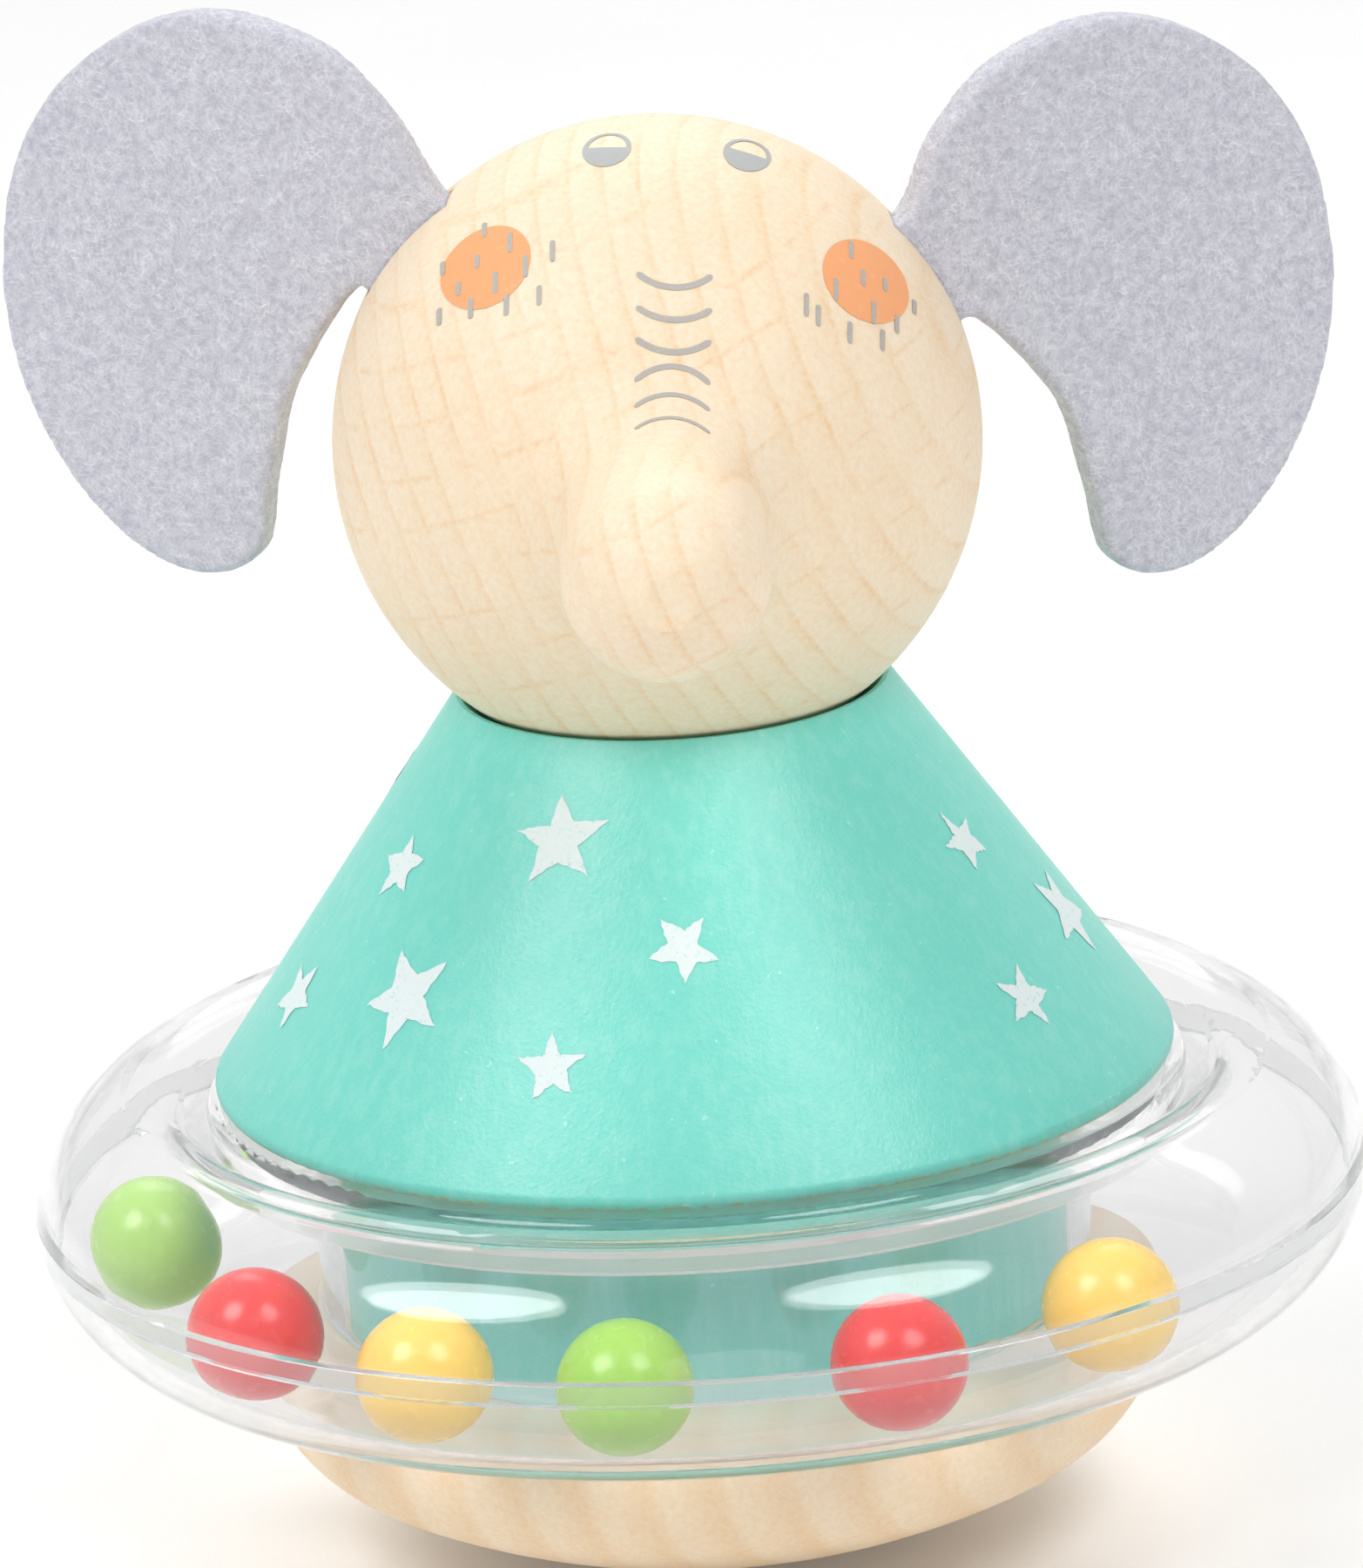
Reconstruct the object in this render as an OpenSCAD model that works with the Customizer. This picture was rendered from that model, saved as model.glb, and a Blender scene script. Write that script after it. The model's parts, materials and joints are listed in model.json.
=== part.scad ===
// Roly poly elephant: a turned beech toy that rocks on a weighted dome.
// A clear two-part ring with loose beads turns round its waist, and its ears are felt.
// All sizes are in millimetres. The dome stands on z = 0 and the trunk points to -Y.

/* [Base dome] */
// Widest diameter of the dome
base_d = 68; // [62:0.5:74]
// Height of the dome from the floor to its flat top
base_h = 17.8; // [17:0.1:20.5]
// Radius of the rocking face
rock_r = 60; // [54:1:70]
// Radius of the rounded side above the rocking face
side_round_r = 10; // [7:0.5:11]
// Diameter of the small flat left where the dome was parted off
foot_flat_d = 8; // [4:0.5:12]
// Rounding of the top edge
base_edge_r = 0.8; // [0.4:0.1:1.5]

/* [Counterweight and dowels] */
// Diameter of the steel disc
weight_d = 36; // [28:0.5:40]
// Thickness of the steel disc
weight_h = 7; // [4:0.5:8]
// Diameter of the dowel that joins dome, hub and cone
dowel_d = 10; // [8:0.5:12]
// Depth of that dowel below the top of the dome
dowel_in_base = 12; // [10:0.5:13]
// Depth of that dowel in the cone
dowel_in_cone = 10; // [8:0.5:12]
// Diameter of the dowel that joins cone and head
neck_d = 8; // [6:0.5:10]
// Depth of the neck dowel in the cone
neck_in_cone = 7; // [5:0.5:8]
// Depth of the neck dowel in the head
neck_in_head = 9; // [7:0.5:12]

/* [Hub and cone] */
// Chamfer on the edges of the spool
hub_chamfer = 0.6; // [0.3:0.1:1]
// How far the cone's foot stands inside the ring's collar, before its edge is rounded
cone_foot_in = 0.1; // [0:0.1:2]
// Diameter of the cone's rim
cone_rim_d = 32.2; // [30.8:0.2:34]
// Height of the cone
cone_h = 29.7; // [26:0.1:34]
// Rounding of the edge at the cone's foot
cone_edge_r = 0.8; // [0.5:0.1:2]

/* [Clear ring] */
// Outside diameter of the ring
ring_d = 100; // [96:0.5:106]
// Width of the ring, from its bore to its rim
ring_w = 22.6; // [20:0.1:25]
// Wall of both shells
ring_wall = 1.5; // [1.2:0.1:2]
// Radius of the rim's curve in section
rim_r = 10.1; // [9.6:0.1:10.8]
// Height of the lower shell, from its foot to the seam
ring_low_h = 10.1; // [9.6:0.1:10.6]
// Height of the crown's highest line above the seam
crown_h = 8.9; // [8.4:0.1:9.4]
// Radius of the crown's inner curve in section
crown_r = 4.2; // [3.6:0.1:4.6]
// How far the collar under the cone stands inside the rim
collar_in = 13.3; // [12.8:0.1:15]
// Height of the collar's top above the seam
collar_h = 8; // [7.2:0.1:8.6]
// Height of the valley between collar and crown above the seam
valley_h = 5.6; // [5:0.1:6.4]
// Rounding of the collar's outer edge
collar_edge_r = 1; // [0.5:0.1:1.4]
// Inner fillet between trough floor and bore wall
trough_fillet_r = 0.8; // [0.4:0.1:2]
// Depth of the lap where the upper shell goes down inside the lower one
lap_h = 1.8; // [1:0.1:2.4]

/* [Beads] */
// Diameter of a bead
bead_d = 10; // [8:0.25:11]
// How far outside the trough's lowest line the beads run
bead_out = 1.2; // [0.5:0.1:2]

/* [Head and trunk] */
// Diameter of the head
head_d = 48; // [44:0.5:52]
// How deep the head sinks below the cone's rim
head_sink = 5.5; // [5:0.1:5.8]
// Diameter of the trunk
trunk_d = 15; // [12:0.5:18]
// Reach of the trunk's tip from the middle of the head
trunk_reach = 45.3; // [42:0.1:49]
// Radius of the hollow curve between head and trunk
trunk_fillet_r = 8.5; // [6:0.5:10]
// Diameter of the flat turned on the trunk's tip
tip_flat_d = 4; // [2:0.5:6]

/* [Felt ears] */
// Thickness of the felt
ear_t = 3; // [2:0.25:4]
// Width of an ear from the head's surface to its outer edge
ear_w = 34; // [30:0.5:38]
// Height of an ear
ear_h = 43; // [38:0.5:48]
// Width of the root that goes into the slot
ear_root_w = 9.4; // [8:0.2:12]
// Depth of the slot in the head
ear_slot_depth = 6; // [4:0.5:8]
// How far the slots lie behind the middle of the head
ear_back = 1; // [0:0.5:3]
// Angle of the slots above the level of the head's middle
ear_rise = 36; // [30:1:42]
// Angle by which the ears sweep back
ear_sweep = 20; // [10:1:30]
// Roll of the slots about the trunk, as the head was glued on
head_roll = 6.5; // [0:0.5:8]

/* [Fits] */
// Radial clearance between ring and hub
turn_clear = 0.4; // [0.3:0.05:0.6]
// Clearance above and below the ring
float_clear = 0.3; // [0.2:0.05:0.5]
// Clearance between a bead and the trough
bead_clear = 0.3; // [0.2:0.05:0.5]
// Clearance of glued joints
glue_clear = 0.1; // [0.05:0.05:0.2]
// Gap between head and dished seat
seat_clear = 0.3; // [0.2:0.05:0.5]
// Clearance of the ears in their slots
slot_clear = 0.2; // [0.1:0.05:0.4]
// Clearance in the lap of the two shells
lap_clear = 0.1; // [0.05:0.05:0.2]

/* [Hidden] */
$fn = 96;
// How far a cut runs past the face that it opens
overrun = 1;
// Colours of the finishes
beech = "burlywood";
teal = "mediumaquamarine";
clear = [0.9, 0.92, 0.95, 0.35];
felt = "lightsteelblue";
bead_green = "yellowgreen";
bead_red = "tomato";
bead_yellow = "khaki";
// Angles of the beads round the ring, from +X, left to right across the front
bead_angles = [182, 216, 239.5, 261, 289, 315];
// Turn of the rim's curve, from the vertical, where the crown's curve takes over
crown_turn = 18;
// How far the flank between collar and crown runs into the crown's curve
flank_in = 0.05;
// Outline of an ear from the top of its root round to the bottom, in shares of its width and height
ear_shares = [
    [0.02, 0.22], [0.17, 0.335], [0.43, 0.39], [0.68, 0.32], [0.86, 0.16], [0.93, -0.07],
    [0.89, -0.30], [0.74, -0.50], [0.55, -0.60], [0.38, -0.57], [0.335, -0.43], [0.27, -0.26]
];
// Steps of the curve between two points of an ear's outline
ear_steps = 6;

// Heights of the stack, from the floor up
ring_foot_z = base_h + float_clear;
seam_z = ring_foot_z + ring_low_h;
cone_z = seam_z + collar_h + float_clear;
cone_rim_z = cone_z + cone_h;
hub_h = cone_z - base_h;
head_r = head_d / 2;
head_z = cone_rim_z + head_r - head_sink;
seat_r = head_r + seat_clear;
seat_z = head_z - seat_r;

// Base dome: middle of the rocking face's curve and of the rounded side
base_r = base_d / 2;
rock_z = sqrt(pow(rock_r, 2) - pow(foot_flat_d / 2, 2));
side_x = base_r - side_round_r;
side_z = rock_z - sqrt(pow(rock_r - side_round_r, 2) - pow(side_x, 2));
pocket_h = weight_h + glue_clear;
dowel_z = base_h - dowel_in_base;
dowel_h = dowel_in_base + hub_h + dowel_in_cone;
neck_z = seat_z - neck_in_cone;
neck_h = neck_in_cone + seat_clear + neck_in_head;

// Radii of the waist, from the rim inwards
ring_r = ring_d / 2;
collar_r = ring_r - collar_in;
bore_r = ring_r - ring_w;
hub_r = bore_r - turn_clear;

// Cone: lean of the side's normal and middle of the foot's rounding
cone_foot_r = collar_r - cone_foot_in;
cone_rim_r = cone_rim_d / 2;
cone_lean = atan2(cone_foot_r - cone_rim_r, cone_h);
cone_edge_x = cone_foot_r - cone_edge_r * (1 + sin(cone_lean)) / cos(cone_lean);

// Clear ring, with heights counted from the seam
low_drop = ring_low_h - rim_r;
low_x = ring_r - sqrt(pow(rim_r, 2) - pow(low_drop, 2));
// The crown's curve meets the rim's curve where that has turned by crown_turn
crown_z = crown_h - crown_r;
up_drop = (rim_r - crown_r) * cos(crown_turn) - crown_z;
up_x = ring_r - sqrt(pow(rim_r, 2) - pow(up_drop, 2));
crown_x = up_x + (rim_r - crown_r) * sin(crown_turn);
// A straight flank rises from the foot of the collar to the crown's curve
flank = [crown_x - collar_r, crown_z - valley_h];
flank_lean = atan2(flank.y, flank.x) + asin(min(1, crown_r / norm(flank)));
bore_wall_r = bore_r + ring_wall;
lap_r = ring_r - ring_wall / 2;

// Beads: their track round the ring
bead_r = bead_d / 2;
bead_track_r = low_x + bead_out;
bead_room = rim_r - ring_wall - bead_r - bead_clear;
bead_z = seam_z - low_drop - sqrt(pow(bead_room, 2) - pow(bead_out, 2));

// Trunk: where its hollow curve starts and its round end sits
trunk_r = trunk_d / 2;
fillet_y = sqrt(pow(head_r + trunk_fillet_r, 2) - pow(trunk_r + trunk_fillet_r, 2));
trunk_end_y = trunk_reach - sqrt(pow(trunk_r, 2) - pow(tip_flat_d / 2, 2));

left_rise = ear_rise + head_roll;
right_rise = ear_rise - head_roll;

// A rectangle from one corner to the other
module span(low, high) {
    translate(low) square(high - low);
}

// A cylinder that stands at height z and has a fit added to its radius
module peg(d, h, z, fit = 0) {
    translate([0, 0, z]) cylinder(d = d + 2 * fit, h = h);
}

// Half section of the dome: rocking face, rounded side and rounded top edge
module base_section() {
    wedge = rock_z / (rock_z - side_z);
    intersection() {
        span([0, 0], [base_r, base_h]);
        union() {
            intersection() {
                translate([0, rock_z]) circle(r = rock_r);
                polygon([[0, rock_z], [0, -overrun], [wedge * side_x, -overrun], [wedge * side_x, 0]]);
            }
            translate([side_x, side_z]) circle(r = side_round_r);
            span([0, side_z], [base_r, base_h - base_edge_r]);
            span([0, side_z], [base_r - base_edge_r, base_h]);
            translate([base_r - base_edge_r, base_h - base_edge_r]) circle(r = base_edge_r);
        }
    }
}

module base_dome() {
    color(beech)
    difference() {
        rotate_extrude() base_section();
        peg(weight_d, pocket_h + overrun, base_h - pocket_h, glue_clear);
        peg(dowel_d, dowel_in_base + overrun, dowel_z, glue_clear);
    }
}

module counterweight() {
    color("silver")
    difference() {
        peg(weight_d, weight_h, base_h - pocket_h);
        peg(dowel_d, weight_h + 2 * overrun, base_h - pocket_h - overrun, glue_clear);
    }
}

module centre_dowel() {
    color(beech) peg(dowel_d, dowel_h - glue_clear, dowel_z);
}

module hub() {
    color(teal)
    difference() {
        translate([0, 0, base_h])
        rotate_extrude()
        polygon([
            [0, 0], [hub_r - hub_chamfer, 0], [hub_r, hub_chamfer],
            [hub_r, hub_h - hub_chamfer], [hub_r - hub_chamfer, hub_h], [0, hub_h]
        ]);
        peg(dowel_d, hub_h + 2 * overrun, base_h - overrun, glue_clear);
    }
}

// Half section below the seam, drawn in by inset: rim curve, flat foot and bore wall
module ring_lower_section(inset, fillet) {
    inner = bore_r + inset;
    foot = inset - ring_low_h;
    intersection() {
        translate([low_x, -low_drop]) circle(r = rim_r - inset);
        span([low_x, foot], [ring_r, overrun]);
    }
    span([inner + fillet, foot], [low_x, overrun]);
    span([inner, foot + fillet], [low_x, overrun]);
    if (fillet > 0) translate([inner + fillet, foot + fillet]) circle(r = fillet);
}

module ring_lower_shell() {
    color(clear)
    translate([0, 0, seam_z])
    rotate_extrude()
    union() {
        difference() {
            ring_lower_section(0, 0);
            ring_lower_section(ring_wall, trough_fillet_r);
            span([bore_r - overrun, 0], [ring_r + overrun, 2 * overrun]);
            span([ring_r - 2 * ring_wall, -lap_h - lap_clear], [lap_r, overrun]);
        }
        // The bore wall goes on up to the lid
        span([bore_r, -overrun], [bore_wall_r, collar_h - ring_wall - lap_clear]);
    }
}

// Half section above the seam, drawn in by inset: rim curve, crown, flank, valley and collar
module ring_upper_section(inset, edge_r) {
    inner = bore_r + inset;
    collar = collar_r - inset;
    crown = crown_r - inset;
    top = collar_h - inset;
    turn_x = crown_x + crown * sin(crown_turn);
    flank_x = collar_r + inset * tan(flank_lean / 2);
    intersection() {
        translate([up_x, -up_drop]) circle(r = rim_r - inset);
        span([turn_x, -overrun], [ring_r, ring_low_h]);
    }
    translate([crown_x, crown_z]) circle(r = crown);
    polygon([
        [inner, -overrun], [crown_x, -overrun], [crown_x, crown_z],
        [crown_x, crown_z] + (crown - flank_in) * [-sin(flank_lean), cos(flank_lean)],
        [flank_x, valley_h - inset], [inner, valley_h - inset]
    ]);
    span([inner, -overrun], [turn_x, min(crown_z, valley_h - inset)]);
    span([inner, -overrun], [collar, top - edge_r]);
    span([inner, -overrun], [collar - edge_r, top]);
    if (edge_r > 0) translate([collar - edge_r, top - edge_r]) circle(r = edge_r);
}

module ring_upper_shell() {
    color(clear)
    translate([0, 0, seam_z])
    rotate_extrude()
    union() {
        difference() {
            ring_upper_section(0, collar_edge_r);
            ring_upper_section(ring_wall, 0);
            span([bore_r - overrun, -2 * overrun], [ring_r + overrun, lap_clear]);
            span([bore_r - overrun, 0], [bore_wall_r + lap_clear, collar_h - ring_wall]);
        }
        span([ring_r - ring_wall, -lap_h], [lap_r - lap_clear, 2 * lap_clear]);
    }
}

// A bead in its place round the ring
module bead(index, paint) {
    color(paint)
    rotate([0, 0, bead_angles[index]])
    translate([bead_track_r, 0, bead_z])
    sphere(r = bead_r);
}

// Half section of the cone, with its foot edge rounded
module cone_section() {
    edge = [cone_edge_x, cone_edge_r];
    polygon([
        [0, 0], [cone_edge_x, 0], edge,
        edge + cone_edge_r * [cos(cone_lean), sin(cone_lean)],
        [cone_rim_r, cone_h], [0, cone_h]
    ]);
    translate(edge) circle(r = cone_edge_r);
}

module cone_body() {
    color(teal)
    difference() {
        translate([0, 0, cone_z]) rotate_extrude() cone_section();
        translate([0, 0, head_z]) sphere(r = seat_r);
        peg(dowel_d, dowel_in_cone + overrun, cone_z - overrun, glue_clear);
        peg(neck_d, neck_in_cone + head_sink, neck_z, glue_clear);
    }
}

module neck_dowel() {
    color(beech) peg(neck_d, neck_h - glue_clear, neck_z);
}

// Half section of head and trunk about the trunk's axis, with the hollow curve between them
module head_section() {
    hollow = [trunk_r + trunk_fillet_r, fillet_y];
    intersection() {
        span([0, -head_r], [head_r, trunk_reach]);
        union() {
            circle(r = head_r);
            span([0, 0], [trunk_r, trunk_end_y]);
            translate([0, trunk_end_y]) circle(r = trunk_r);
            difference() {
                polygon([[0, 0], hollow, [0, fillet_y]]);
                translate(hollow) circle(r = trunk_fillet_r);
            }
        }
    }
}

// Moves an ear's flat outline to its slot on the right of the head
module at_right_slot(rise) {
    translate([head_r * cos(rise), ear_back, head_z + head_r * sin(rise)])
    rotate([90, 0, ear_sweep])
    children();
}

module ear_slot(rise) {
    width = ear_root_w + 2 * slot_clear;
    at_right_slot(rise)
    rotate([0, 0, rise])
    linear_extrude(height = ear_t + 2 * slot_clear, center = true)
    translate([-ear_slot_depth, -width / 2])
    square([ear_slot_depth + ear_root_w, width]);
}

module head() {
    color(beech)
    difference() {
        translate([0, 0, head_z]) rotate([90, 0, 0]) rotate_extrude() head_section();
        peg(neck_d, seat_clear + neck_in_head + head_r, seat_z - head_r, glue_clear);
        ear_slot(right_rise);
        mirror([1, 0, 0]) ear_slot(left_rise);
    }
}

// A point on the smooth curve from b to c, with a and d as the points before and after them
function curve_point(a, b, c, d, t) =
    b + t / 2 * (c - a + t * (2 * a - 5 * b + 4 * c - d + t * (3 * b - a - 3 * c + d)));

// Outline of an ear about the middle of its root, with the tab that goes into the slot
function ear_outline(rise) =
    let (
        out = [cos(rise), sin(rise)],
        side = [-sin(rise), cos(rise)] * ear_root_w / 2,
        tab = (ear_slot_depth - slot_clear) * out,
        bend = [for (s = ear_shares) [s.x * ear_w, s.y * ear_h]],
        points = concat([side - tab, side], bend, [-side, -side - tab]),
        last = len(points) - 1
    )
    concat(
        [points[0]],
        [for (i = [1 : last - 2], k = [0 : ear_steps - 1])
            curve_point(points[i - 1], points[i], points[i + 1], points[i + 2], k / ear_steps)],
        [points[last - 1], points[last]]
    );

module ear(rise) {
    color(felt)
    at_right_slot(rise)
    linear_extrude(height = ear_t, center = true)
    polygon(ear_outline(rise));
}

module right_ear() {
    ear(right_rise);
}

module left_ear() {
    mirror([1, 0, 0]) ear(left_rise);
}

base_dome();
counterweight();
centre_dowel();
hub();
ring_lower_shell();
ring_upper_shell();
bead(0, bead_green);  // bead_green_left
bead(1, bead_red);  // bead_red_left
bead(2, bead_yellow);  // bead_yellow_left
bead(3, bead_green);  // bead_green_middle
bead(4, bead_red);  // bead_red_right
bead(5, bead_yellow);  // bead_yellow_right
cone_body();
neck_dowel();
head();
left_ear();
right_ear();
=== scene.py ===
# %% [markdown]
# # A wooden elephant that always rocks upright
# The toy is turned from beech: a weighted dome, a painted cone and a ball with a trunk. A clear ring of
# loose beads turns round its waist, and the ears are cut from felt. The imported frame brings every rigid
# piece at its true size, so the work here is finish: wood, paint, clear plastic, felt and printed marks.

# %% Load the frame
import json
import math
import random

import bmesh
import bpy
from mathutils import Matrix, Vector, noise
from mathutils.bvhtree import BVHTree

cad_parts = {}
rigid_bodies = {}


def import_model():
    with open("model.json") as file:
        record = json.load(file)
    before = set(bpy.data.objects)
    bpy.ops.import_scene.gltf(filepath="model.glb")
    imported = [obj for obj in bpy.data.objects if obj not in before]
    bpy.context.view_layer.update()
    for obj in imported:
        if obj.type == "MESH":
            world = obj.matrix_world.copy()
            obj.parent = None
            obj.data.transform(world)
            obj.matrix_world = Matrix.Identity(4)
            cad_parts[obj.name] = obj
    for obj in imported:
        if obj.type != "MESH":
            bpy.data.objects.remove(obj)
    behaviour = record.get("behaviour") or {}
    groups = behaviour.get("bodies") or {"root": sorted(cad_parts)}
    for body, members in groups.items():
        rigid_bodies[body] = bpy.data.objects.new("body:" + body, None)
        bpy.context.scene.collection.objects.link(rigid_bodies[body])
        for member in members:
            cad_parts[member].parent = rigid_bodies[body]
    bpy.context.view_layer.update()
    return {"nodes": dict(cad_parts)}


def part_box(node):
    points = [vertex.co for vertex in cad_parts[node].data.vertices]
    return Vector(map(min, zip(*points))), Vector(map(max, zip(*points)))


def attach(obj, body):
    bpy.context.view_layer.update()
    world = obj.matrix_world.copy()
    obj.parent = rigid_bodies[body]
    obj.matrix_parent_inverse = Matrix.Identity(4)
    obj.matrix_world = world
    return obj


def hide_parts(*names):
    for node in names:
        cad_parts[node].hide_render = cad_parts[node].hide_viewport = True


for leftover in list(bpy.data.objects):
    bpy.data.objects.remove(leftover, do_unlink=True)
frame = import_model()
nodes = frame["nodes"]
mm = 0.001

# %% [markdown]
# ## Camera
# The photo was taken with a long lens from a little above the toy, which leans slightly to the left in
# it. A camera could be aimed with a Track To constraint, but a constraint stays live in the file. Building
# its matrix once from a forward, a right and an up direction gives the lean as well, and nothing follows.

# %% Set up the camera
camera_place = Vector((0, -919.2, 329.9)) * mm
camera_aim = Vector((0.24, 0, 58.1)) * mm
camera_lean = math.radians(3.45)
camera_lens = 296.1
camera_sensor = 36
camera_clip = 0.05, 20

photo_camera = bpy.data.objects.new("photo_camera", bpy.data.cameras.new("photo_camera"))
photo_camera.data.sensor_fit = "VERTICAL"
photo_camera.data.sensor_height = camera_sensor
photo_camera.data.lens = camera_lens
photo_camera.data.clip_start, photo_camera.data.clip_end = camera_clip
ahead = (camera_aim - camera_place).normalized()
level = ahead.cross(Vector((0, 0, 1))).normalized()
upward = level.cross(ahead)
across = level * math.cos(camera_lean) - upward * math.sin(camera_lean)
turned = Matrix((across, across.cross(ahead), -ahead)).transposed().to_4x4()
photo_camera.matrix_world = Matrix.Translation(camera_place) @ turned
bpy.context.scene.collection.objects.link(photo_camera)
bpy.context.scene.camera = photo_camera
print("camera:", [round(c / mm) for c in camera_place], "mm, lens", camera_lens)

# %% [markdown]
# ## Small helpers for node trees
# Every finish below is a tree of shader nodes. Writing each node and each link by hand is long and hides
# the idea, so small helpers do it: one adds a node and wires its inputs, and the others use it for mixes,
# sums, ramps, noises and waves. A group, which several finishes share, gets its sockets from another.

# %% Node helpers
def add_node(tree, kind, inputs=None, **settings):
    """Adds a shader node; an input is a plain value or another node's output."""
    made = tree.nodes.new("ShaderNode" + kind)
    for name, value in settings.items():
        setattr(made, name, value)
    for name, value in (inputs or {}).items():
        if isinstance(value, bpy.types.NodeSocket):
            tree.links.new(value, made.inputs[name])
        else:
            made.inputs[name].default_value = value
    return made


def mix_colours(tree, share, first, second):
    return add_node(tree, "Mix", {0: share, 6: first, 7: second}, data_type="RGBA").outputs[2]


def math_of(tree, operation, first, second=0.0):
    return add_node(tree, "Math", {0: first, 1: second}, operation=operation).outputs[0]


def spread_out(tree, value, low, high, to_low=0.0, to_high=1.0):
    inputs = {"Value": value, "From Min": low, "From Max": high, "To Min": to_low, "To Max": to_high}
    return add_node(tree, "MapRange", inputs).outputs["Result"]


def ramp(tree, value, stops):
    made = add_node(tree, "ValToRGB", {"Fac": value})
    band = made.color_ramp
    while len(band.elements) < len(stops):
        band.elements.new(0.5)
    for element, (at, level) in zip(band.elements, stops):
        element.position = at
        element.color = (level, level, level, 1)
    return made.outputs["Color"]


def noise_of(tree, vector, scale, detail=2.0, rough=0.5, distortion=0.0):
    inputs = {"Vector": vector, "Scale": scale, "Detail": detail, "Roughness": rough}
    return add_node(tree, "TexNoise", inputs | {"Distortion": distortion}).outputs["Fac"]


def wave_of(tree, vector, scale, profile, bend, detail, detail_scale, rough):
    """Bands across X, bent by a noise."""
    inputs = {"Vector": vector, "Scale": scale, "Distortion": bend}
    inputs |= {"Detail": detail, "Detail Scale": detail_scale, "Detail Roughness": rough}
    bands = {"wave_type": "BANDS", "bands_direction": "X", "wave_profile": profile}
    return add_node(tree, "TexWave", inputs, **bands).outputs["Fac"]


def start_group(name, takes, gives):
    """A shader node group with named sockets; returns its tree, its inputs and its outputs."""
    group = bpy.data.node_groups.new(name, "ShaderNodeTree")
    for label, kind, value in takes:
        socket = group.interface.new_socket(label, in_out="INPUT", socket_type="NodeSocket" + kind)
        if value is not None:
            socket.default_value = value
    for label, kind in gives:
        group.interface.new_socket(label, in_out="OUTPUT", socket_type="NodeSocket" + kind)
    return group, group.nodes.new("NodeGroupInput").outputs, group.nodes.new("NodeGroupOutput").inputs


def place_group(tree, group, inputs):
    return add_node(tree, "Group", inputs, node_tree=group).outputs


def start_material(name, **plain):
    """A material with one Principled shader, whose even values are set on the shader itself."""
    material = bpy.data.materials.new(name)
    material.use_nodes = True
    shader = material.node_tree.nodes["Principled BSDF"]
    for label, value in plain.items():
        shader.inputs[label.replace("_", " ")].default_value = value
    return material, material.node_tree, shader


def object_vector(tree, turn=(0, 0, 0)):
    """Object coordinates, turned so that a pattern lies as it does on the real piece."""
    place = add_node(tree, "TexCoord").outputs["Object"]
    inputs = {"Vector": place, "Rotation": [math.radians(t) for t in turn]}
    return add_node(tree, "Mapping", inputs).outputs["Vector"]


def bump(tree, shader, height, depth):
    """Depth is the real height, in metres, that a height value of one stands for."""
    made = add_node(tree, "Bump", {"Height": height, "Distance": depth, "Strength": 1.0})
    tree.links.new(made.outputs["Normal"], shader.inputs["Normal"])


def wire(tree, output, shader, label):
    tree.links.new(output, shader.inputs[label])


print("helpers: ready")

# %% [markdown]
# ## Floor and light
# The photo is high key: a white floor, a white room and two large soft boxes high in front, left and
# right, which leave two soft spots on every bead, with a low card that fills the waist. A sky texture would
# give one sun and hard shadows. Area lamps in a plain world, dim in front and bright behind like a white
# backdrop, are nearer to the studio. One lamp washes the floor behind the toy until it is as white as
# paper, and the floor is one big quad.

# %% Lay the floor and hang the lamps
white = (1, 1, 1, 1)
floor_size = 3.0
floor_glow = 0.06
paper_grain = 40
paper_low, paper_high = (0.90, 0.90, 0.90, 1), (0.94, 0.94, 0.94, 1)
room_dim, room_bright = 0.28, 0.85
# How far back a direction points where the room starts to brighten, and where it is brightest
room_turn = -0.1, 0.5
# Place and aim in metres, size and power
soft_boxes = {
    "left_box": ((-0.57, -0.36, 0.86), (0, 0, 0.06), 0.54, 4.7),
    "right_box": ((0.43, -0.48, 0.88), (0, 0, 0.06), 0.54, 4.1),
    "top_box": ((0.0, 0.10, 1.05), (0, 0, 0.06), 0.7, 0.25),
    "floor_wash": ((0.0, 0.9, 0.75), (0, 0.24, 0), 0.7, 0.5),
    "low_card": ((0.05, -0.95, 0.12), (0, 0, 0.06), 0.4, 0.28),
}
wash_spread = math.radians(70)
most_bounces, most_kind_bounces = 40, 32

bm = bmesh.new()
bmesh.ops.create_grid(bm, x_segments=1, y_segments=1, size=floor_size)
floor_mesh = bpy.data.meshes.new("floor")
bm.to_mesh(floor_mesh)
bm.free()
floor = bpy.data.objects.new("floor", floor_mesh)
bpy.context.scene.collection.objects.link(floor)
paper, tree, shader = start_material(
    "floor_paper", Roughness=0.9, Emission_Strength=floor_glow, Emission_Color=white)
fibre = noise_of(tree, object_vector(tree), paper_grain, 3)
wire(tree, mix_colours(tree, fibre, paper_low, paper_high), shader, "Base Color")
floor_mesh.materials.append(paper)

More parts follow.
